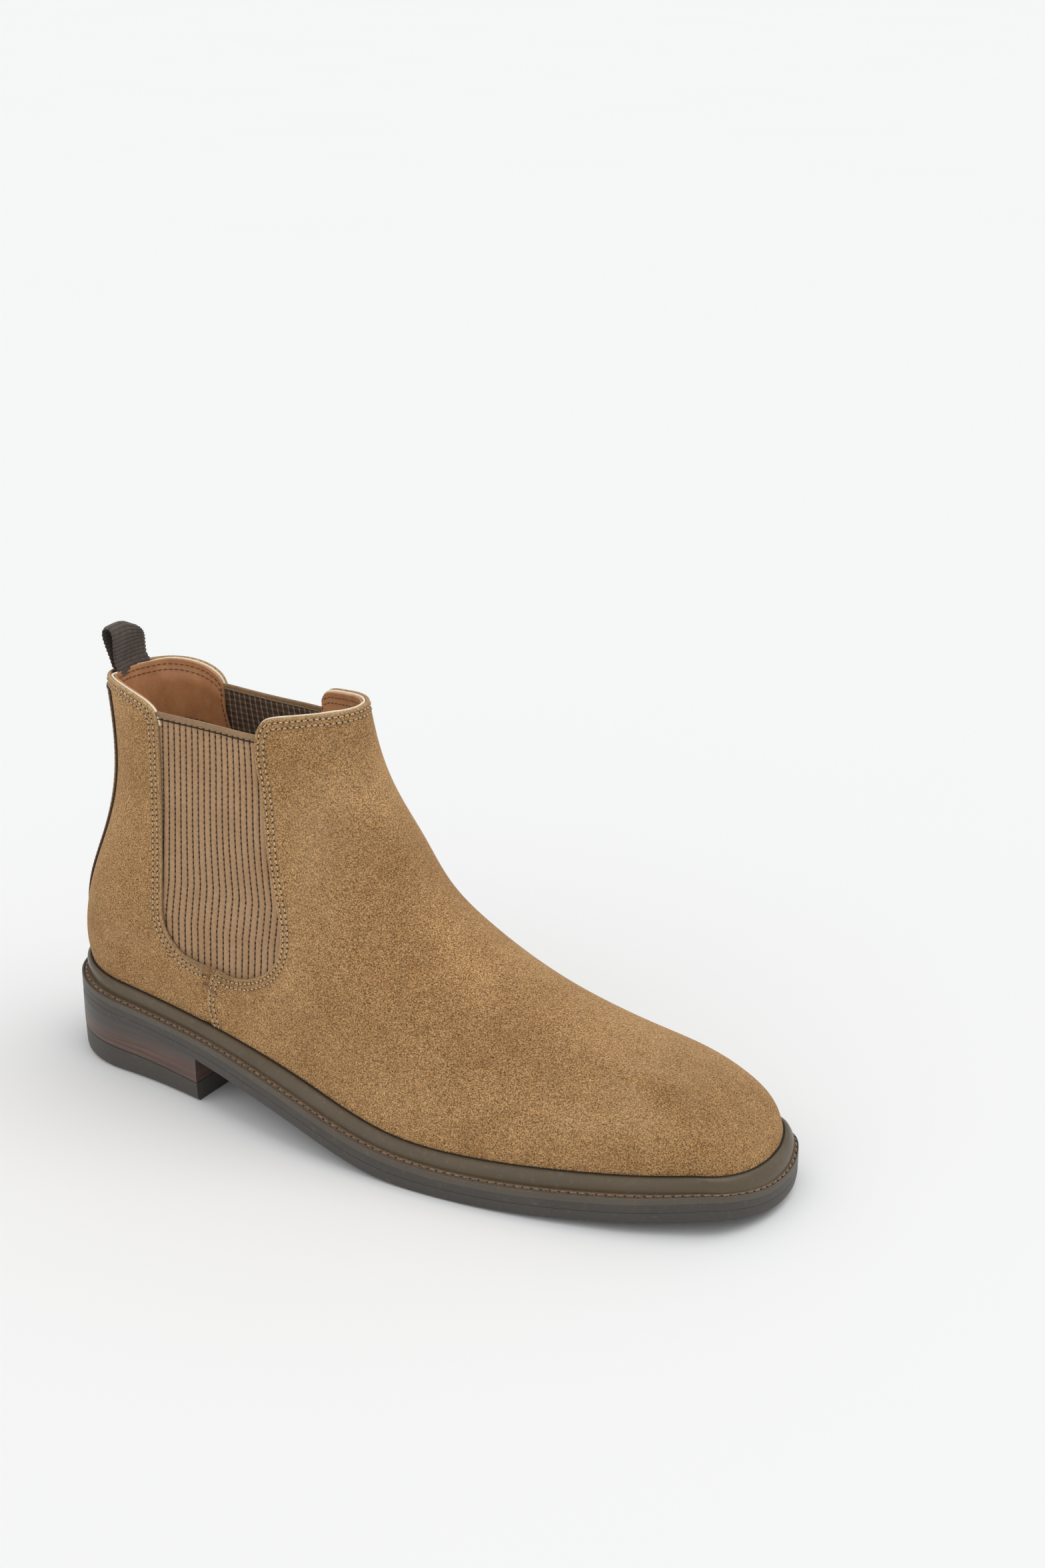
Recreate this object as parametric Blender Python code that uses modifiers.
"""Chelsea boot, right foot, men's size about EU 42.

Frame: +X to the toe, +Y to the medial (inner) side, +Z up, origin on the ground in the middle of
the heel's resting face. Dimensions are in millimetres, with x measured from the rearmost point of
the heel seat; the last step moves everything to the origin.
The outer surface of the upper is a height field over the boot's side view: every point (x, z) has
a half width on the lateral and on the medial side, and that width falls to nothing on the ridge
and on the back line. Panels are outlines in the side view, lifted onto that surface.
"""

import math

import bmesh
import bpy
import numpy as np
from mathutils import Matrix, Vector

for old_object in list(bpy.data.objects):
    bpy.data.objects.remove(old_object)

MM = 0.001

# ---- driving dimensions -------------------------------------------------------------------------
TOE_X = 299.2            # toe end of the upper
HEEL_X = 6.0             # heel end of the upper at the feather line
BREAST_X = 75.0          # front face of the heel
SEAM_X = 82.0            # side seam, under the elastic gusset
SEAM_TOP_Z = 55.0
ORIGIN_X = 38.0          # middle of the heel's resting face
GAP = 0.3                # clearance between neighbouring layers

WELT_OUT = 6.8           # how far the welt and the sole stand out from the upper
WELT_IN = 4.5            # how far the welt reaches in under the upper
WELT_THICK = 2.6
MIDSOLE_THICK = 2.7
OUTSOLE_THICK = 4.0
RAND_HEIGHT = 7.8        # above the welt
TOP_LIFT_THICK = 7.9     # rubber top piece of the heel, resting on the ground
LIFT_THICK = 1.9         # one full stacked lift

SUEDE_THICK = 1.4
MIDDLE_DEPTH, MIDDLE_THICK = 2.4, 0.9    # the layer between suede and lining
LINING_DEPTH, LINING_THICK = 4.2, 0.8
TAPE_THICK = 0.8
SUEDE_LOW, STIFFENER_LOW, LINING_LOW = 0.9, 1.6, 2.2    # lower edges, above the welt top

TOE_FLEX = (205.0, 0, 6.0)     # middle of the flex line at the ball

# levels below the welt top
MIDSOLE_TOP = -WELT_THICK - GAP
MIDSOLE_BOTTOM = MIDSOLE_TOP - MIDSOLE_THICK
OUTSOLE_TOP = MIDSOLE_BOTTOM - GAP
OUTSOLE_BOTTOM = OUTSOLE_TOP - OUTSOLE_THICK

# ---- measured outlines --------------------------------------------------------------------------
# (x, z) of the welt top along the boot: heel seat, waist, ball, toe spring
FEATHER = [(6, 30.7), (40, 27.6), (75, 24.3), (100, 20.8), (125, 16.8), (150, 12.9), (175, 10.5),
           (200, 9.9), (225, 10.5), (250, 11.9), (275, 13.8), (TOE_X, 16)]
# (x, z) of the back line and the ridge line, both from the welt up to the topline
BACK = [(6, 30.7), (2, 44), (1.9, 58), (5.6, 74), (11.5, 90), (16.2, 105), (18.5, 120),
        (18.4, 136), (16, 155.6)]
RIDGE = [(TOE_X, 16), (297.5, 24.8), (291.5, 34), (279.6, 41.7), (262.7, 48.5), (244.3, 53.4),
         (226.1, 58.2), (208.3, 64.2), (192, 71.6), (176, 80.6), (161, 92), (151, 106.5),
         (141.6, 123), (135.3, 140), (131.5, 159.5)]

# half widths: one column for each x in STATIONS, one row for each height above the welt in HEIGHTS
STATIONS = [0, 25, 50, 75, 100, 125, 150, 175, 200, 225, 250, 275, 300]
HEIGHTS = [0, 12, 30, 55, 85, 115, 140]
LATERAL_WIDTHS = [
    [26.5, 27, 28.5, 32.5, 38, 43.5, 47.5, 49.3, 48.8, 46, 40.9, 33.6, 22.7],
    [27.5, 28.3, 29.8, 32.8, 37.5, 42.6, 46.7, 48.8, 48.8, 46.3, 41.4, 34.4, 24],
    [26.5, 28.7, 30.3, 32.3, 36, 40.5, 44.8, 47.5, 48.1, 46.2, 41.7, 35.2, 25.2],
    [24, 26.9, 29, 31.2, 33.5, 37.5, 41.5, 44.8, 46.1, 45.3, 41.9, 36, 26.7],
    [22, 24.3, 27, 29.6, 31.6, 34.3, 38.9, 42.9, 44.9, 45, 41.6, 35.6, 27.7],
    [22, 24.2, 26.4, 26, 26.6, 27.5, 34, 42.9, 44.9, 45, 41.6, 35.6, 27.7],
    [22, 24.2, 26.2, 23.6, 24.6, 24.5, 32, 42.9, 44.9, 45, 41.6, 35.6, 27.7],
]
MEDIAL_WIDTHS = [
    [30, 27, 23.5, 21.8, 21.4, 21.2, 22.3, 26.4, 31, 33.2, 33.1, 30.1, 23.9],
    [30, 28.6, 26.2, 25.5, 26, 26.2, 27.7, 31, 34.9, 36.4, 35.4, 32.2, 25.9],
    [28.5, 29, 28.8, 29.6, 30.8, 31.6, 33, 36, 38.9, 39.7, 38.4, 35.1, 28.9],
    [25.5, 27.4, 29, 31, 33, 35.2, 37.3, 40, 42.4, 43.1, 42.1, 38.7, 32.9],
    [22.5, 24.8, 27.6, 30.4, 32.6, 35.4, 39.4, 42.6, 45, 46, 45.6, 42.2, 36.9],
    [24, 25.4, 25.2, 24, 24.4, 26.5, 35, 43, 45, 46, 45.6, 42.2, 36.9],
    [25, 25, 22.6, 20.6, 20.6, 22, 32, 43, 45, 46, 45.6, 42.2, 36.9],
]
# the width grows from nothing to full over a distance from each line:
# shares of the line's length, then the distance there
RIDGE_FALL = ([0, .05, .12, .25, .4, .55, .7, .85, 1], [12, 12.5, 15, 27, 44, 54, 54, 50, 46])
BACK_FALL = ([0, .2, .5, .8, 1], [30, 32, 34, 40, 42])
RIDGE_ROUNDNESS, BACK_ROUNDNESS = 2.3, 2.2    # exponents of the rounding near each line

# (x, z) of the suede's edges round the gusset opening and along the topline
GUSSET_FRONT = [(SEAM_X, SEAM_TOP_Z), (88, 54.2), (96, 54.7), (104, 57.5), (111, 62.5),
                (115.3, 70), (115.6, 79), (111.6, 94), (107, 111.6), (102.6, 130.5), (99.6, 147),
                (100.2, 151)]
FRONT_TOP = [(100.2, 151), (102.7, 155), (109.6, 157.2), (120, 158.7), (131.5, 159.5)]
GUSSET_REAR = [(SEAM_X, SEAM_TOP_Z), (76, 54.6), (68, 56), (61, 60.5), (57, 67), (56.2, 78),
               (56.4, 100), (56.2, 124), (55.8, 146)]
REAR_TOP = [(16, 155.6), (24, 156.9), (33, 157.2), (42, 156.4), (49, 154.6), (53.8, 151.3),
            (55.8, 146)]


# ---- curves -------------------------------------------------------------------------------------
def cubic(knots, values):
    """Natural cubic spline through points, with straight ends."""
    knots, values = np.asarray(knots, float), np.asarray(values, float)
    count, steps = len(knots), np.diff(knots)
    slopes = np.diff(values) / steps
    matrix, right = np.zeros((count, count)), np.zeros(count)
    matrix[0, 0] = matrix[-1, -1] = 1
    for i in range(1, count - 1):
        matrix[i, i - 1:i + 2] = steps[i - 1], 2 * (steps[i - 1] + steps[i]), steps[i]
        right[i] = 6 * (slopes[i] - slopes[i - 1])
    bends = np.linalg.solve(matrix, right)
    start_slope = slopes[0] - steps[0] * (2 * bends[0] + bends[1]) / 6
    end_slope = slopes[-1] + steps[-1] * (bends[-2] + 2 * bends[-1]) / 6

    def value(x):
        x = np.asarray(x, float)
        within = np.clip(x, knots[0], knots[-1])
        i = np.clip(np.searchsorted(knots, within, side="right") - 1, 0, count - 2)
        along, step = within - knots[i], steps[i]
        y = (values[i] + along * (slopes[i] - step * (2 * bends[i] + bends[i + 1]) / 6)
             + along ** 2 * bends[i] / 2
             + along ** 3 * (bends[i + 1] - bends[i]) / (6 * step))
        before, after = np.minimum(x - knots[0], 0), np.maximum(x - knots[-1], 0)
        return y + start_slope * before + end_slope * after

    return value


def path(points):
    """Smooth path through points; its parameter runs 0 to 1 by length."""
    points = np.asarray(points, float)
    lengths = np.r_[0, np.cumsum(np.linalg.norm(np.diff(points, axis=0), axis=1))]
    curves = [cubic(lengths, column) for column in points.T]
    return lambda t: np.stack([f(np.asarray(t, float) * lengths[-1]) for f in curves], -1)


def joined(*pieces):
    """One path made of several: each piece is (path, start, end) and fills that share of 0 to 1."""
    def point(t):
        t = np.asarray(t, float)
        out = np.zeros(t.shape + (2,))
        for piece, start, end in pieces:
            inside = (t >= start - 1e-9) & (t <= end + 1e-9)
            out[inside] = piece(np.clip((t[inside] - start) / (end - start), 0, 1))
        return out
    return point


def stretch(line, start, end, spacing=lambda t: t):
    """The part of a path between two shares of its length."""
    return lambda t: line(start + (end - start) * spacing(t))


def closer_at_end(count):
    """Shares 0 to 1 that crowd towards 1."""
    return np.sin(np.linspace(0, math.pi / 2, count + 1))


def closer_at_start(count):
    """Shares 0 to 1 that crowd towards 0."""
    return 1 - np.cos(np.linspace(0, math.pi / 2, count + 1))


feather_z = cubic(*zip(*FEATHER))
back, ridge = path(BACK), path(RIDGE)
SAMPLES = np.linspace(0, 1, 401)
BACK_LINE, RIDGE_LINE = back(SAMPLES), ridge(SAMPLES)
centre_y = cubic([0, 100, 200, 260, 300], [0, 0, 0, 0.5, 1.5])
ridge_fall, back_fall = cubic(*RIDGE_FALL), cubic(*BACK_FALL)


def welt_z(x):
    """Welt top, held level beyond the ends of the upper."""
    return feather_z(np.clip(x, HEEL_X, TOE_X))


# ---- the upper's surface ------------------------------------------------------------------------
def width_table(rows):
    """Half width as a function of x and height above the welt."""
    row_curves = [cubic(STATIONS, row) for row in rows]
    heights = np.array(HEIGHTS, float)
    last = len(heights) - 1

    def value(x, height):
        widths = np.stack([curve(x) for curve in row_curves], 0)
        within = np.clip(height, heights[0], heights[-1])
        low = np.clip(np.searchsorted(heights, within, side="right") - 1, 0, last - 1)

        def take(row):
            return np.take_along_axis(widths, row[None], 0)[0]

        def slope(row):
            below, above = np.clip(row - 1, 0, last), np.clip(row + 1, 0, last)
            return (take(above) - take(below)) / (heights[above] - heights[below])

        step = heights[low + 1] - heights[low]
        t = (within - heights[low]) / step
        return ((2 * t ** 3 - 3 * t ** 2 + 1) * take(low)
                + (t ** 3 - 2 * t ** 2 + t) * slope(low) * step
                + (-2 * t ** 3 + 3 * t ** 2) * take(low + 1)
                + (t ** 3 - t ** 2) * slope(low + 1) * step)

    return value


SIDES = {"lateral": -1, "medial": 1}    # sign of y on each side
WIDTHS = {-1: width_table(LATERAL_WIDTHS), 1: width_table(MEDIAL_WIDTHS)}


def near(x, z, line):
    """Distance to a polyline, and the share of its length where it is nearest."""
    points = np.stack([x, z], -1).reshape(-1, 2)
    starts, spans = line[:-1], line[1:] - line[:-1]
    along = ((points[:, None] - starts) * spans).sum(2) / (spans ** 2).sum(1)
    along = np.clip(along, 0, 1)
    feet = starts + along[..., None] * spans
    distances = np.linalg.norm(points[:, None] - feet, axis=2)
    nearest, index = distances.argmin(1), np.arange(len(points))
    shares = (nearest + along[index, nearest]) / len(starts)
    return distances[index, nearest].reshape(np.shape(x)), shares.reshape(np.shape(x))


def share_at(x, z, line):
    """Share of a line's length nearest to one point."""
    return float(near(x, z, line)[1])


def rounding(x, z, line, fall, exponent):
    """Factor that takes the width from nothing on a line to full some way off it."""
    distance, share = near(x, z, line)
    return np.sqrt(np.clip(1 - (1 - np.clip(distance / fall(share), 0, 1)) ** exponent, 0, 1))


def width(x, z, side):
    """Half width of the upper's outer face."""
    x, z = np.asarray(x, float), np.asarray(z, float)
    return (WIDTHS[side](x, z - feather_z(x))
            * rounding(x, z, RIDGE_LINE, ridge_fall, RIDGE_ROUNDNESS)
            * rounding(x, z, BACK_LINE, back_fall, BACK_ROUNDNESS))


def lift(points, side, least=0.0):
    """Side-view points onto the boot's surface, with a least half width."""
    x, z = points[..., 0], points[..., 1]
    return np.stack([x, centre_y(x) + side * np.maximum(width(x, z, side), least), z], -1)


def surface_y(x, z, side):
    return float(lift(np.array([x, z]), side)[1])


# ---- side-view patches and grids ----------------------------------------------------------------
def coons(rear, front, bottom, top, rows, columns):
    """Points of a four-sided patch: rows run up rear and front, columns along bottom and top."""
    up, along = np.meshgrid(rows, columns, indexing="ij")
    u, v = up[..., None], along[..., None]
    start, end = np.array(0.0), np.array(1.0)
    corners = ((1 - u) * (1 - v) * rear(start) + u * (1 - v) * rear(end)
               + (1 - u) * v * front(start) + u * v * front(end))
    return ((1 - v) * rear(up) + v * front(up)
            + (1 - u) * bottom(along) + u * top(along) - corners)


def even_steps(count):
    return np.linspace(0, 1, count + 1)


def toe_start(low):
    """Share of the ridge at the toe, low above the welt."""
    return share_at(TOE_X, float(feather_z(TOE_X)) + low, RIDGE_LINE)


def heel_start(low):
    """Share of the back line at the heel, low above the welt."""
    return share_at(HEEL_X, float(feather_z(HEEL_X)) + low, BACK_LINE)


def bottom_to_toe(x_from, low):
    """Lower edge of a panel that runs forward to the toe."""
    def point(t):
        x = x_from + (TOE_X - x_from) * t
        return np.stack([x, feather_z(x) + low], -1)
    return point


def bottom_from_heel(x_to, low):
    """Lower edge of a panel that starts on the back line."""
    heel_x, heel_z = back(heel_start(low))
    mismatch = heel_z - feather_z(heel_x) - low

    def point(t):
        x = heel_x + (x_to - heel_x) * t
        return np.stack([x, feather_z(x) + low + mismatch * (1 - t)], -1)
    return point


def over(grid, at):
    """A side-view grid lifted on both sides and joined over the ridge or the back line."""
    lateral, medial = lift(grid, -1), lift(grid, 1)
    if at == "front":
        return np.concatenate([lateral, medial[:, ::-1][:, 1:]], 1)
    return np.concatenate([medial[:, ::-1], lateral[:, 1:]], 1)


def unit_normals(grid):
    normals = np.cross(np.gradient(grid, axis=0), np.gradient(grid, axis=1))
    return normals / np.maximum(np.linalg.norm(normals, axis=2), 1e-9)[..., None]


def faces_inward(grid):
    """Whether the grid's normals point mostly to the boot's centre plane."""
    away = grid[..., 1] - centre_y(grid[..., 0])
    return (unit_normals(grid)[..., 1] * away).sum() <= 0


def inset(grid, depth):
    """The same grid, moved inwards by a depth."""
    normals = unit_normals(grid)
    return grid - (-normals if faces_inward(grid) else normals) * depth


# ---- materials and collections ------------------------------------------------------------------
# name: base colour (linear RGB), roughness, metallic
MATERIAL_LOOKS = {
    "suede": ((0.36, 0.22, 0.10), 0.95, 0.0),
    "gusset_elastic": ((0.33, 0.20, 0.11), 0.85, 0.0),
    "lining_leather": ((0.44, 0.20, 0.08), 0.5, 0.0),
    "lining_textile": ((0.55, 0.46, 0.35), 0.9, 0.0),
    "tape": ((0.80, 0.68, 0.50), 0.8, 0.0),
    "webbing": ((0.06, 0.045, 0.04), 0.85, 0.0),
    "rand_rubber": ((0.10, 0.085, 0.06), 0.38, 0.0),
    "welt_rubber": ((0.09, 0.075, 0.055), 0.5, 0.0),
    "sole_rubber": ((0.05, 0.047, 0.042), 0.5, 0.0),
    "heel_stack": ((0.075, 0.045, 0.036), 0.55, 0.0),
    "thread": ((0.40, 0.28, 0.15), 0.8, 0.0),
    "sole_thread": ((0.10, 0.06, 0.03), 0.8, 0.0),
    "insole_fibre": ((0.55, 0.42, 0.28), 0.9, 0.0),
    "cork": ((0.45, 0.28, 0.14), 0.95, 0.0),
    "foam": ((0.75, 0.70, 0.60), 0.95, 0.0),
    "stiffener": ((0.70, 0.62, 0.48), 0.8, 0.0),
    "steel": ((0.55, 0.55, 0.56), 0.35, 1.0),
}


def make_material(name, colour, roughness, metallic):
    material = bpy.data.materials.new(name)
    material.use_nodes = True
    inputs = material.node_tree.nodes["Principled BSDF"].inputs
    inputs["Base Color"].default_value = (*colour, 1)
    inputs["Roughness"].default_value = roughness
    inputs["Metallic"].default_value = metallic
    return material


def make_collection(name):
    collection = bpy.data.collections.new(name)
    bpy.context.scene.collection.children.link(collection)
    return collection


MATERIALS = {name: make_material(name, *look) for name, look in MATERIAL_LOOKS.items()}
PARTS = make_collection("chelsea_boot")
CUTTERS = make_collection("cutters")


# ---- objects ------------------------------------------------------------------------------------
def add_part(name, data, material):
    part = bpy.data.objects.new(name, data)
    data.materials.append(MATERIALS[material])
    PARTS.objects.link(part)
    return part


def new_object(name, bm, material):
    bm.normal_update()
    mesh = bpy.data.meshes.new(name)
    bm.to_mesh(mesh)
    bm.free()
    mesh.shade_smooth()
    mesh.set_sharp_from_angle(angle=math.radians(40))
    return add_part(name, mesh, material)


def take_primitive(name, collection):
    """Names the primitive just added and moves it to a collection."""
    part = bpy.context.active_object
    part.name = name
    for owner in list(part.users_collection):
        owner.objects.unlink(part)
    collection.objects.link(part)
    return part


def set_origin(part, point):
    """Moves the object's origin to a point, leaving the geometry where it is."""
    origin = Vector(point) * MM
    part.data.transform(Matrix.Translation(-origin))
    part.location = origin


def sheet(name, grid, thickness, material):
    """A panel: an open surface, made solid inwards."""
    bm = bmesh.new()
    verts = [[bm.verts.new(point * MM) for point in row] for row in grid]
    flip = faces_inward(grid)
    for i in range(len(verts) - 1):
        for j in range(len(verts[0]) - 1):
            corners = [verts[i][j], verts[i + 1][j], verts[i + 1][j + 1], verts[i][j + 1]]
            bm.faces.new(corners[::-1] if flip else corners)
    part = new_object(name, bm, material)
    solidify = part.modifiers.new("thickness", "SOLIDIFY")
    solidify.thickness = thickness * MM
    solidify.offset = -1
    solidify.use_even_offset = False
    return part


def inner_sheet(name, grid, at, depth, thickness, material):
    """A panel under the suede that wraps round the front or the back."""
    return sheet(name, inset(over(grid, at), depth), thickness, material)


def slab(name, top, bottom, material):
    """A plate lofted between two outlines: rows of (lateral, medial) points, heel to toe."""
    bm = bmesh.new()

    def make_verts(rows):
        out = []
        for lateral, medial in rows:
            first = bm.verts.new(Vector(lateral) * MM)
            is_tip = np.linalg.norm(np.subtract(lateral, medial)) < 1e-6
            out.append((first, first if is_tip else bm.verts.new(Vector(medial) * MM)))
        return out

    def face(*corners):
        distinct = list(dict.fromkeys(corners))
        if len(distinct) > 2:
            bm.faces.new(distinct)

    upper, lower = make_verts(top), make_verts(bottom)
    for i in range(len(upper) - 1):
        face(upper[i][0], upper[i + 1][0], upper[i + 1][1], upper[i][1])
        face(lower[i][1], lower[i + 1][1], lower[i + 1][0], lower[i][0])
        face(upper[i][0], lower[i][0], lower[i + 1][0], upper[i + 1][0])
        face(upper[i + 1][1], lower[i + 1][1], lower[i][1], upper[i][1])
    for i in (0, -1):
        face(upper[i][0], upper[i][1], lower[i][1], lower[i][0])
    bmesh.ops.recalc_face_normals(bm, faces=bm.faces)
    return new_object(name, bm, material)


def ring(name, loops, material):
    """A closed band round the boot: closed outlines, joined in a closed section."""
    bm = bmesh.new()
    verts = [[bm.verts.new(Vector(point) * MM) for point in loop] for loop in loops]
    count = len(verts[0])
    for i, loop in enumerate(verts):
        following = verts[(i + 1) % len(verts)]
        for j in range(count):
            after = (j + 1) % count
            bm.faces.new([loop[j], loop[after], following[after], following[j]])
    bmesh.ops.recalc_face_normals(bm, faces=bm.faces)
    return new_object(name, bm, material)


# ---- plan outlines ------------------------------------------------------------------------------
# how many samples from the welt up hold the lines' crossing with any plan height
BACK_LOW_SAMPLES, RIDGE_LOW_SAMPLES = 120, 60
RING_POINTS = 104
SOLE_ROWS = 36


def ends_at(height):
    """x where the back line and the ridge are at a height above the welt."""
    ends = []
    for line, count in ((BACK_LINE, BACK_LOW_SAMPLES), (RIDGE_LINE, RIDGE_LOW_SAMPLES)):
        x, z = line[:count].T
        ends.append(float(np.interp(0, z - feather_z(x) - height, x)))
    return ends


def plan(height, count=60):
    """Outline of the upper at a height above the welt.

    It has 2 * count points: heel tip first, lateral side to the toe tip, medial side back.
    """
    heel, toe = ends_at(height)
    x = heel + (toe - heel) * (1 - np.cos(np.linspace(0, math.pi, count + 1))) / 2
    points = np.stack([x, feather_z(x) + height], -1)
    lateral, medial = lift(points, -1)[:, :2], lift(points, 1)[:, :2]
    for tip in (0, -1):
        lateral[tip, 1] = medial[tip, 1] = centre_y(x[tip])
    return np.concatenate([lateral, medial[::-1][1:-1]], 0)


def grown(outline, distance):
    """A closed outline grown outwards by a distance."""
    following = np.roll(outline, -1, 0)
    tangents = following - np.roll(outline, 1, 0)
    tangents /= np.linalg.norm(tangents, axis=1)[:, None]
    normals = np.stack([tangents[:, 1], -tangents[:, 0]], 1)
    area = 0.5 * np.sum(outline[:, 0] * following[:, 1] - following[:, 0] * outline[:, 1])
    return outline + (normals if area > 0 else -normals) * distance


def even(outline, count):
    """A closed outline with count points, closer together where it turns, the first one kept."""
    turn_weight = 14    # mm of length that one radian of turning counts for
    closed = np.vstack([outline, outline[:1]])
    steps = np.diff(closed, axis=0)
    heading = np.unwrap(np.arctan2(steps[:, 1], steps[:, 0]))
    full_turn = 2 * math.pi * np.sign(heading[-1] - heading[0])
    padded = np.r_[heading[-3:] - full_turn, heading, heading[:3] + full_turn]
    bend = np.convolve(np.abs(np.gradient(padded)), np.ones(5) / 5, mode="same")[3:-3]
    reach = np.r_[0, np.cumsum(np.linalg.norm(steps, axis=1) + turn_weight * bend)]
    wanted = np.arange(count) / count * reach[-1]
    return np.stack([np.interp(wanted, reach, column) for column in closed.T], 1)


def level_loop(height, out, count=RING_POINTS):
    """A closed 3D loop, out from the upper, at a height above (or below) the welt top."""
    outline = even(grown(plan(max(height, 0), 90), out), count)
    return np.column_stack([outline, welt_z(outline[:, 0]) + height])


def plan_rows(out):
    """(lateral, medial) plan points of the outline, out from the upper, heel to toe."""
    outline = grown(plan(0, SOLE_ROWS), out)
    return [(outline[i], outline[-i % len(outline)]) for i in range(SOLE_ROWS + 1)]


def at_height(rows, height):
    """Plan rows raised to a height: a number, or a function of x."""
    return [[(x, y, float(height(x)) if callable(height) else height) for x, y in row]
            for row in rows]


def from_welt(level):
    """Height function for a level measured from the welt top: a number, or a function of x."""
    return lambda x: welt_z(x) + (level(x) if callable(level) else level)


# ---- suede panels -------------------------------------------------------------------------------
SEAM_EDGE = 0.25          # each panel's distance from the side seam
BACK_SEAM_HALF = 0.9      # least half width of the quarters, at the back seam
BACK_STRIP_OUT, BACK_STRIP_THICK = 1.5, 1.0


def seam_and_gusset(seam_x, gusset_points):
    """A panel's edge up the side seam, then round the gusset opening."""
    seam = path([(seam_x, float(feather_z(seam_x)) + SUEDE_LOW), (seam_x, 40),
                 (seam_x, SEAM_TOP_Z - 0.2)])
    return joined((seam, 0, 0.2), (path(gusset_points), 0.2, 1))


def build_vamp():
    """One-piece vamp and front panel: from the toe over the instep to the front topline."""
    seam_x = SEAM_X + SEAM_EDGE
    rear = seam_and_gusset(seam_x, [(max(x, seam_x), z) for x, z in GUSSET_FRONT])
    spacing = cubic([0, 0.2, 0.45, 1], [0, 0.1, 0.38, 1])
    front = stretch(ridge, toe_start(SUEDE_LOW), 1, spacing)
    grid = coons(rear, front, bottom_to_toe(seam_x, SUEDE_LOW), path(FRONT_TOP),
                 even_steps(22), closer_at_end(12))
    grid[0, -1] = front(np.array(0.0))
    sheet("vamp", over(grid, "front"), SUEDE_THICK, "suede")


def build_quarters():
    """Heel and back of the shaft, from the back seam to the side seam and the gusset's rear."""
    seam_x = SEAM_X - SEAM_EDGE
    front = seam_and_gusset(seam_x, [(min(x, seam_x), z) for x, z in GUSSET_REAR])
    spacing = cubic([0, 0.2, 0.45, 1], [0, 0.15, 0.34, 1])
    rear = stretch(back, heel_start(SUEDE_LOW), 1, spacing)
    grid = coons(rear, front, bottom_from_heel(seam_x, SUEDE_LOW), path(REAR_TOP),
                 even_steps(20), closer_at_start(9))
    for name, side in SIDES.items():
        sheet("quarter_" + name, lift(grid, side, BACK_SEAM_HALF), SUEDE_THICK, "suede")


def back_strip_grid(z_low, z_high, half_low, half_high, rows, columns):
    """Rows up the back; each row spans the back seam from the lateral to the medial side."""
    grid = []
    for z in np.linspace(z_low, z_high, rows + 1):
        half = half_low + (half_high - half_low) * (z - z_low) / (z_high - z_low)
        back_x = float(np.interp(z, BACK_LINE[:, 1], BACK_LINE[:, 0]))
        row = []
        for y in np.linspace(-half, half, columns + 1):
            # bisect for the x where the upper is |y| wide
            rear, front = back_x, back_x + 30
            for _ in range(30):
                x = (rear + front) / 2
                if float(width(x, z, -1 if y < 0 else 1)) < abs(y):
                    rear = x
                else:
                    front = x
            row.append((rear, y, z))
        grid.append(row)
    return np.array(grid)


def build_back_strip():
    """Strip over the back seam, outside the quarters."""
    grid = back_strip_grid(z_low=39.6, z_high=143, half_low=8.5, half_high=12.5,
                           rows=14, columns=8)
    normals = unit_normals(grid)
    rearward = normals if normals[..., 0].sum() < 0 else -normals
    part = sheet("back_strip", grid + rearward * BACK_STRIP_OUT, BACK_STRIP_THICK, "suede")
    # the faces must look to the rear, so that the thickness goes inwards
    bm = bmesh.new()
    bm.from_mesh(part.data)
    if sum(face.normal.x for face in bm.faces) > 0:
        bmesh.ops.reverse_faces(bm, faces=bm.faces)
    bm.to_mesh(part.data)
    bm.free()


# ---- gussets, topline strips, linings and stiffeners --------------------------------------------
def build_gussets():
    """Elastic gussets; their sides and lower edge lie about 7 mm under the suede."""
    rear = path([(50, 60), (49.5, 80), (49.6, 100), (49.5, 124), (49.4, 147.2)])
    front = path([(120, 67), (122.5, 80), (118, 97), (113.4, 113), (109, 131), (106.4, 146.2)])
    bottom = path([(50, 60), (60, 51), (75, 47.5), (95, 47.5), (110, 53), (120, 67)])
    top = path([(49.4, 147.2), (78, 146.9), (106.4, 146.2)])
    grid = coons(rear, front, bottom, top, even_steps(12), even_steps(8))
    for name, side in SIDES.items():
        sheet("gusset_" + name, inset(lift(grid, side), MIDDLE_DEPTH), MIDDLE_THICK,
              "gusset_elastic")


def rim_grid(at, start, end, down_from, down_to, rows, columns):
    """A strip along a topline between two shares of it and two depths below it."""
    span = end - start
    if at == "front":
        topline, outline, tip = path(FRONT_TOP), RIDGE_LINE, -1
        shares = start + span * closer_at_end(columns)
        pull = (shares - start) / span
    else:
        topline, outline, tip = path(REAR_TOP), BACK_LINE, 0
        shares = start + span * closer_at_start(columns)
        pull = (end - shares) / span
    points = topline(shares)
    grid = []
    for down in np.linspace(down_to, down_from, rows + 1):
        # each row is pulled so that its tip stays on the ridge or the back line
        z = points[:, 1] - down
        tip_x = np.interp(z[tip], outline[:, 1], outline[:, 0])
        grid.append(np.stack([points[:, 0] + (tip_x - points[tip, 0]) * pull, z], -1))
    return np.array(grid)


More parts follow.
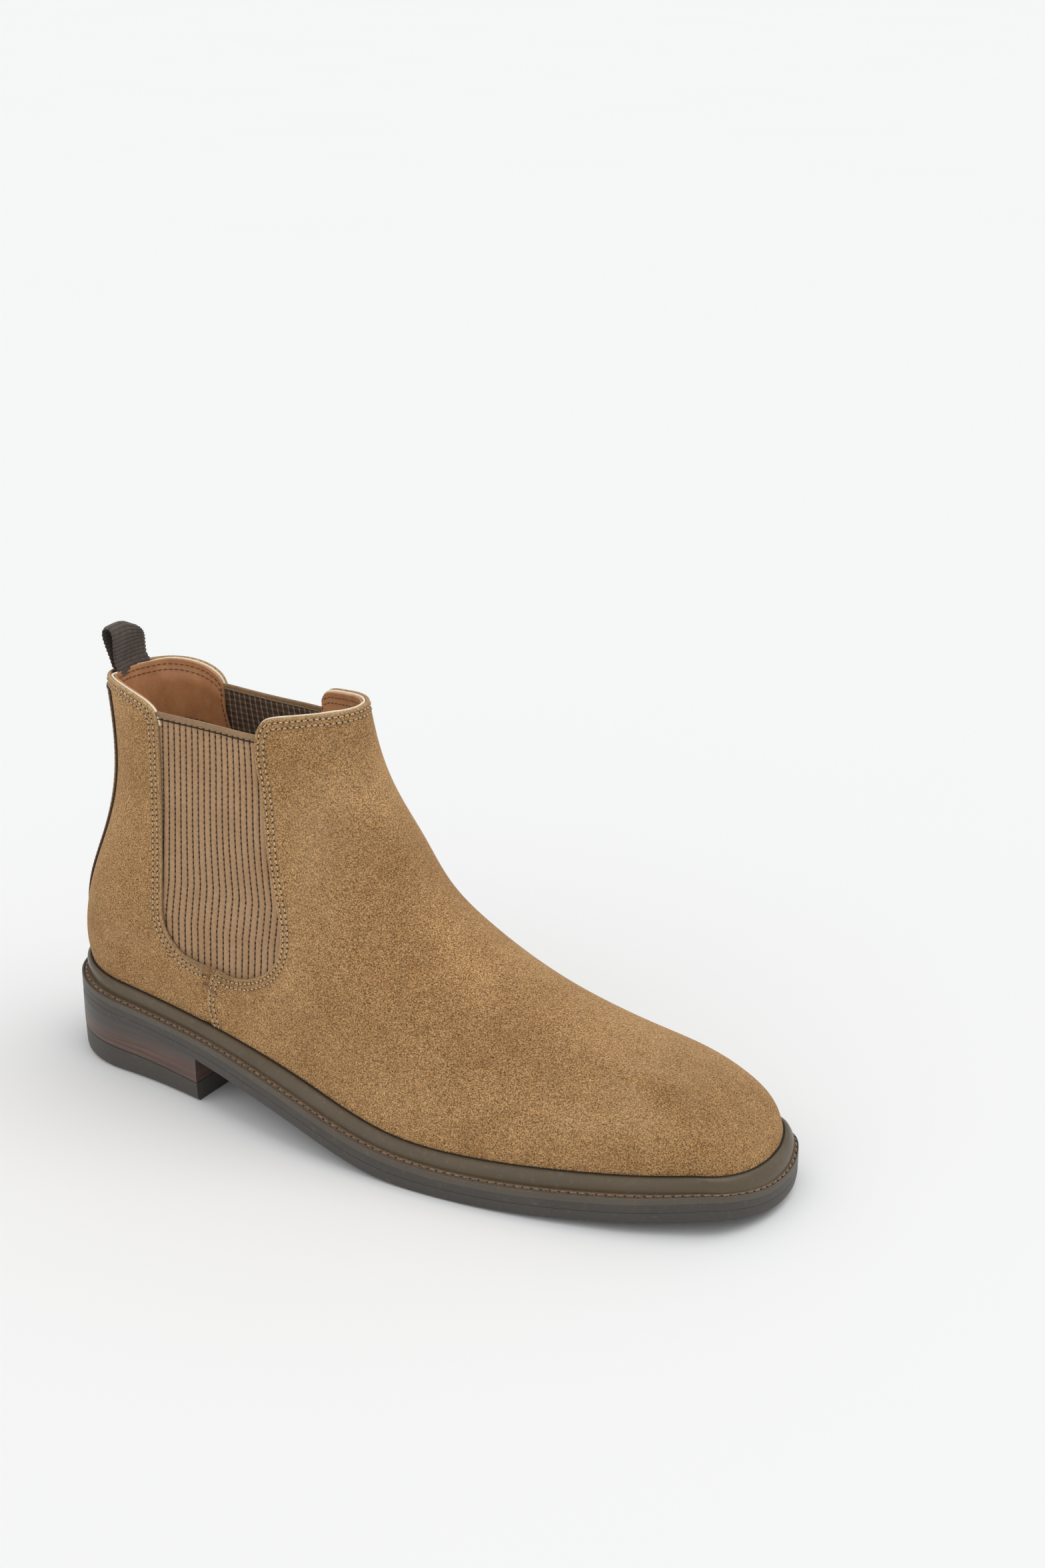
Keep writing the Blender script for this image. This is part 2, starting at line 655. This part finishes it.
def build_topline_strips():
    """Tapes between suede and lining, and the leather facings inside the collar."""
    tape = (MIDDLE_DEPTH, TAPE_THICK, "tape")
    facing = (LINING_DEPTH, LINING_THICK, "lining_leather")
    # name, place, start and end share, upper and lower depth below the topline,
    # rows, columns, layer
    strips = [
        ("topline_tape_rear", "back", 0, 0.74, 0.6, 4.4, 1, 8, tape),
        ("topline_tape_front", "front", 0.36, 1, 0.6, 5.4, 1, 6, tape),
        ("collar_facing_rear", "back", 0, 0.82, 0.5, 25.5, 4, 9, facing),
        ("collar_facing_front", "front", 0.3, 1, 0.5, 25.5, 4, 7, facing),
    ]
    for name, at, *measures, layer in strips:
        inner_sheet(name, rim_grid(at, *measures), at, *layer)


def back_panel(low, end_near, front_x, front_points, top_points, rows, columns):
    """Patch from the back line forward to front_x, up to the back line's point end_near."""
    end = share_at(*end_near, BACK_LINE)
    front = path([(front_x, float(feather_z(front_x)) + low)] + front_points)
    return coons(stretch(back, heel_start(low), end), front, bottom_from_heel(front_x, low),
                 path([tuple(back(end))] + top_points), even_steps(rows),
                 closer_at_start(columns))


def toe_panel(low, end_near, rear_x, rear_points, top_points, rows, columns,
              spacing=lambda t: t):
    """Patch from rear_x forward to the toe, up to the ridge's point end_near."""
    end = share_at(*end_near, RIDGE_LINE)
    rear = path([(rear_x, float(feather_z(rear_x)) + low)] + rear_points)
    return coons(rear, stretch(ridge, toe_start(low), end, spacing),
                 bottom_to_toe(rear_x, low), path(top_points + [tuple(ridge(end))]),
                 even_steps(rows), closer_at_end(columns))


def build_linings():
    """Textile linings below the collar facings."""
    quarter = back_panel(
        LINING_LOW, end_near=(18.5, 128.6), front_x=60,
        front_points=[(60, 60), (58.5, 90), (57, 107), (55.5, 122)],
        top_points=[(36, 128.4), (55.5, 122)], rows=12, columns=7)
    vamp = toe_panel(
        LINING_LOW, end_near=(136.0, 132.6), rear_x=62,
        rear_points=[(62, 34), (64, 42), (84, 47.2), (104, 52), (117, 60), (123.6, 74),
                     (121, 90), (116.6, 103), (112.6, 116), (110, 129.8)],
        top_points=[(110, 129.8), (120.5, 131.5)], rows=18, columns=9,
        spacing=cubic([0, 0.3, 1], [0, 0.22, 1]))
    for name, grid, at in (("quarter_lining", quarter, "back"), ("vamp_lining", vamp, "front")):
        inner_sheet(name, grid, at, LINING_DEPTH, LINING_THICK, "lining_textile")


def build_stiffeners():
    """Heel counter and toe puff, between suede and lining."""
    counter = back_panel(
        STIFFENER_LOW, end_near=(5.0, 73.0), front_x=60,
        front_points=[(59.5, 36), (59, 44)],
        top_points=[(20, 69.5), (40, 58.5), (59, 44)], rows=6, columns=7)
    puff = toe_panel(
        STIFFENER_LOW, end_near=(256.0, 50.5), rear_x=248,
        rear_points=[(250, 26), (251, 38), (252, 46)],
        top_points=[(252, 46), (254, 49)], rows=7, columns=7)
    inner_sheet("heel_counter", counter, "back", MIDDLE_DEPTH, MIDDLE_THICK, "stiffener")
    toe_puff = inner_sheet("toe_puff", puff, "front", MIDDLE_DEPTH, MIDDLE_THICK, "stiffener")
    set_origin(toe_puff, TOE_FLEX)


# ---- under the foot -----------------------------------------------------------------------------
HEEL_TIP_IN, TOE_TIP_IN = 0.6, 2.2    # extra distance of a plate's tips from the outline
LEAST_HALF = 1.5                      # least half width of a plate
SHANK_REAR_X, SHANK_FRONT_X = 52, 158


def inside_rows(margin, x_from, x_to, count):
    """Rows of the foot outline drawn in by a margin, square-ended where x_from or x_to cuts it."""
    start_x = HEEL_X + margin + HEEL_TIP_IN if x_from is None else x_from
    end_x = TOE_X - margin - TOE_TIP_IN if x_to is None else x_to
    start_angle = 0.0 if x_from is None else math.pi / 2
    end_angle = math.pi if x_to is None else math.pi / 2
    cosines = np.cos(np.linspace(start_angle, end_angle, count))
    shares = (cosines[0] - cosines) / (cosines[0] - cosines[-1])
    foot = plan(0)
    closed = np.vstack([foot, foot[:1]])
    rows = []
    for x in start_x + (end_x - start_x) * shares:
        edges = [surface_y(x, feather_z(x), side) for side in (-1, 1)]
        middle = 0.5 * sum(edges)
        row = []
        for side, edge in zip((-1, 1), edges):
            # bisect for the half width that is the margin away from the outline
            inner, outer = 0.0, abs(edge - middle)
            for _ in range(26):
                half = (inner + outer) / 2
                if near(x, middle + side * half, closed)[0] > margin:
                    inner = half
                else:
                    outer = half
            row.append((x, middle + side * max(inner, LEAST_HALF)))
        rows.append(row)
    return rows


def plate(name, margin, top, bottom, material, x_from=None, x_to=None, count=30):
    """A layer of the drawn-in foot outline between two levels measured from the welt top."""
    rows = inside_rows(margin, x_from, x_to, count)
    slab(name, at_height(rows, from_welt(top)), at_height(rows, from_welt(bottom)), material)


def pad_rise(x):
    """The sock liner's smooth step up over the heel pad."""
    return 2.6 / (1 + math.exp((x - 88) / 3.2))


def build_footbed():
    plate("insole_board", margin=6.8, top=2.8, bottom=0.6, material="insole_fibre")
    plate("heel_pad", margin=7.6, top=5.4, bottom=3.1, material="foam", x_to=72.0, count=16)
    plate("sock_liner", margin=6.9, top=lambda x: 4.6 + pad_rise(x),
          bottom=lambda x: 3.2 + pad_rise(x), material="lining_leather", count=36)
    plate("cork_filler", margin=7.0, top=-1.3, bottom=-2.5, material="cork", x_from=70.0,
          count=24)


def build_shank():
    """Steel bar down the waist, curved in plan, between the insole and the cork."""
    rows = []
    for x in np.linspace(SHANK_REAR_X, SHANK_FRONT_X, 16):
        along = x - SHANK_REAR_X
        y = -4.5 - 4.5 * math.sin(math.pi * along / 200)
        half = 7.0 - 2.0 * math.sin(math.pi * along / (SHANK_FRONT_X - SHANK_REAR_X))
        rows.append([(x, y - half), (x, y + half)])
    slab("shank", at_height(rows, from_welt(0.2)), at_height(rows, from_welt(-1.0)), "steel")


# ---- welt, rand and soles -----------------------------------------------------------------------
# rand section: height above the welt, distance out from the upper
RAND_SECTION = [(0.35, 0.5), (4.0, 0.5), (RAND_HEIGHT, 0.5), (RAND_HEIGHT, 1.3), (6.2, 2.4),
                (3.4, 3.2), (0.35, 3.6)]


def build_welt_and_soles():
    welt_section = [(0, -WELT_IN), (0, WELT_OUT), (-WELT_THICK, WELT_OUT),
                    (-WELT_THICK, -WELT_IN)]
    ring("welt", [level_loop(*corner) for corner in welt_section], "welt_rubber")
    ring("rand", [level_loop(*corner) for corner in RAND_SECTION], "rand_rubber")
    midsole = plan_rows(WELT_OUT - 0.2)
    slab("midsole", at_height(midsole, from_welt(MIDSOLE_TOP)),
         at_height(midsole, from_welt(MIDSOLE_BOTTOM)), "sole_rubber")
    slab("outsole", at_height(plan_rows(WELT_OUT - 0.1), from_welt(OUTSOLE_TOP)),
         at_height(plan_rows(WELT_OUT - 0.3), from_welt(OUTSOLE_BOTTOM)), "sole_rubber")


def build_welt_stitch():
    """The welt seam: one thread that runs all the way round, just above the welt."""
    curve = bpy.data.curves.new("welt_stitch", "CURVE")
    curve.dimensions = "3D"
    curve.bevel_depth = 0.4 * MM
    curve.bevel_resolution = 0
    loop = level_loop(height=0.75, out=5.2, count=110)
    spline = curve.splines.new("POLY")
    spline.points.add(len(loop) - 1)
    for target, point in zip(spline.points, loop):
        target.co = (*(point * MM), 1)
    spline.use_cyclic_u = True
    add_part("welt_stitch", curve, "sole_thread")


# ---- heel ---------------------------------------------------------------------------------------
LIFT_BOTTOM = TOP_LIFT_THICK + GAP
LIFT_TOP = LIFT_BOTTOM + LIFT_THICK
WEDGE_BOTTOM = LIFT_TOP + GAP
CURVED_TO_X = 62                     # the heel keeps the sole's own rows up to here
CORNER_LATERAL_X, CORNER_MEDIAL_X = 66.5, 66.0    # last row before the breast
CORNER_IN = 1.0                      # how far that row is drawn in on the medial side
BREAST_MEDIAL_Y = 12.0               # medial end of the breast, past the clipped corner

NAILS = [(18, -13), (18, 13), (58, -20), (58, 10)]    # x, y
NAIL_RADIUS, BORE_RADIUS = 0.9, 1.3
NAIL_BOTTOM, BORE_BOTTOM = 3.5, 3.0
NAIL_TOP_GAP = 1.2                   # nail tops below the wedge's top face
BORE_LENGTH = 40


def heel_rows(out):
    """Rows of the heel's outline with a straight breast and a clipped medial breast corner."""
    rows = plan_rows(out)
    lateral, medial = (np.array([row[k] for row in rows]) for k in (0, 1))

    def y_at(x, outline):
        return float(np.interp(x, outline[:, 0], outline[:, 1]))

    return [row for row in rows if row[0][0] < CURVED_TO_X] + [
        [(CORNER_LATERAL_X, y_at(CORNER_LATERAL_X, lateral)),
         (CORNER_MEDIAL_X, y_at(CORNER_MEDIAL_X, medial) - CORNER_IN)],
        [(BREAST_X, y_at(BREAST_X, lateral)), (BREAST_X, BREAST_MEDIAL_Y)],
    ]


def heel_top(x):
    """Top face of the heel, just under the outsole."""
    return welt_z(x) + OUTSOLE_BOTTOM - GAP


def cylinder(name, radius, bottom, length, x, y, sides, collection):
    """An upright cylinder standing at height bottom."""
    bpy.ops.mesh.primitive_cylinder_add(
        vertices=sides, radius=radius * MM, depth=length * MM,
        location=(x * MM, y * MM, (bottom + length / 2) * MM))
    return take_primitive(name, collection)


def build_heel_layers():
    # name, top height, distance the top is drawn in from the welt's edge,
    # bottom height, distance the bottom is drawn in, material
    layers = [
        ("heel_lift_lower", LIFT_TOP, 1.0, LIFT_BOTTOM, 1.1, "heel_stack"),
        ("heel_lift_wedge", heel_top, 0.6, WEDGE_BOTTOM, 0.9, "heel_stack"),
        ("top_lift", TOP_LIFT_THICK, 1.1, 0.0, 1.8, "sole_rubber"),
    ]
    return [slab(name, at_height(heel_rows(WELT_OUT - top_in), top),
                 at_height(heel_rows(WELT_OUT - bottom_in), bottom), material)
            for name, top, top_in, bottom, bottom_in, material in layers]


def build_nails(layers):
    """Nails through the lifts into the top piece, each in its own bore."""
    for number, (x, y) in enumerate(NAILS, 1):
        length = float(heel_top(x)) - NAIL_TOP_GAP - NAIL_BOTTOM
        nail = cylinder("heel_nail_%d" % number, NAIL_RADIUS, NAIL_BOTTOM, length, x, y,
                        sides=10, collection=PARTS)
        nail.data.materials.append(MATERIALS["steel"])
        bore = cylinder("bore_%d" % number, BORE_RADIUS, BORE_BOTTOM, BORE_LENGTH, x, y,
                        sides=12, collection=CUTTERS)
        bore.hide_render = True
        bore.display_type = "WIRE"
        for layer in layers:
            cut = layer.modifiers.new("bore_%d" % number, "BOOLEAN")
            cut.object = bore
            cut.operation = "DIFFERENCE"
            cut.solver = "EXACT"


# ---- pull loop and bartacks ---------------------------------------------------------------------
LOOP_WIDTH, LOOP_HEIGHT = 21.0, 18.0
LOOP_ROOT = (19.2, 2.5, 157.6)       # a little to the medial side
LOOP_LEAN = math.radians(14)         # to the rear
WEBBING_THICK = 1.3
# rear half of the loop's middle line, from the root up: x, z from the root, before the lean
LOOP_HALF = [(-0.75, 0.6), (-0.9, 3), (-1.8, 7), (-2.6, 11), (-2.9, 14), (-2.2, 16.6)]

BARTACK_X, BARTACK_Z = SEAM_X + 0.5, 48.0
BARTACK_OUT = 1.05                   # its middle, out from the upper's surface
BARTACK_RADII = (3.2, 0.5, 0.6)      # along, through and up
BARTACK_RUN = 4                      # length over which the surface's direction is taken


def build_pull_loop():
    """A band of webbing folded over: its side view, extruded across the back."""
    crown = (0, LOOP_HEIGHT - WEBBING_THICK / 2)
    front_half = [(-x, z) for x, z in reversed(LOOP_HALF)]
    middle = path(LOOP_HALF + [crown] + front_half)(np.linspace(0, 1, 31))
    tangents = np.gradient(middle, axis=0)
    tangents /= np.linalg.norm(tangents, axis=1)[:, None]
    offset = np.stack([-tangents[:, 1], tangents[:, 0]], 1) * WEBBING_THICK / 2
    root_x, root_y, root_z = LOOP_ROOT
    cosine, sine = math.cos(LOOP_LEAN), math.sin(LOOP_LEAN)
    bm = bmesh.new()

    def vert(x, z, side):
        return bm.verts.new(Vector((root_x + x * cosine - z * sine,
                                    root_y + side * LOOP_WIDTH / 2,
                                    root_z + x * sine + z * cosine)) * MM)

    # verts[side][face of the band][station]
    verts = [[[vert(x, z, side) for x, z in line] for line in (middle + offset, middle - offset)]
             for side in (-1, 1)]
    for i in range(len(middle) - 1):
        for first, second in verts:
            bm.faces.new([first[i], first[i + 1], second[i + 1], second[i]])
        for k in (0, 1):
            bm.faces.new([verts[0][k][i], verts[1][k][i], verts[1][k][i + 1],
                          verts[0][k][i + 1]])
    for i in (0, -1):
        bm.faces.new([verts[0][0][i], verts[1][0][i], verts[1][1][i], verts[0][1][i]])
    bmesh.ops.recalc_face_normals(bm, faces=bm.faces)
    set_origin(new_object("pull_loop", bm, "webbing"), LOOP_ROOT)


def build_bartacks():
    """A short bar of thread across the top of each side seam."""
    for name, side in SIDES.items():
        bpy.ops.mesh.primitive_uv_sphere_add(segments=10, ring_count=6, radius=1)
        part = take_primitive("bartack_" + name, PARTS)
        y = surface_y(BARTACK_X, BARTACK_Z, side)
        y_ahead = surface_y(BARTACK_X + BARTACK_RUN, BARTACK_Z, side)
        part.data.transform(Matrix.Diagonal((*(radius * MM for radius in BARTACK_RADII), 1)))
        part.rotation_euler = (0, 0, math.atan2(y_ahead - y, BARTACK_RUN))
        part.location = (BARTACK_X * MM, (y + side * BARTACK_OUT) * MM, BARTACK_Z * MM)
        part.data.materials.append(MATERIALS["thread"])


def main():
    build_vamp()
    build_quarters()
    build_back_strip()
    build_gussets()
    build_topline_strips()
    build_linings()
    build_stiffeners()
    build_footbed()
    build_shank()
    build_welt_and_soles()
    build_welt_stitch()
    build_nails(build_heel_layers())
    build_pull_loop()
    build_bartacks()
    for part in list(PARTS.objects) + list(CUTTERS.objects):
        part.location.x -= ORIGIN_X * MM
    bpy.context.view_layer.update()


main()
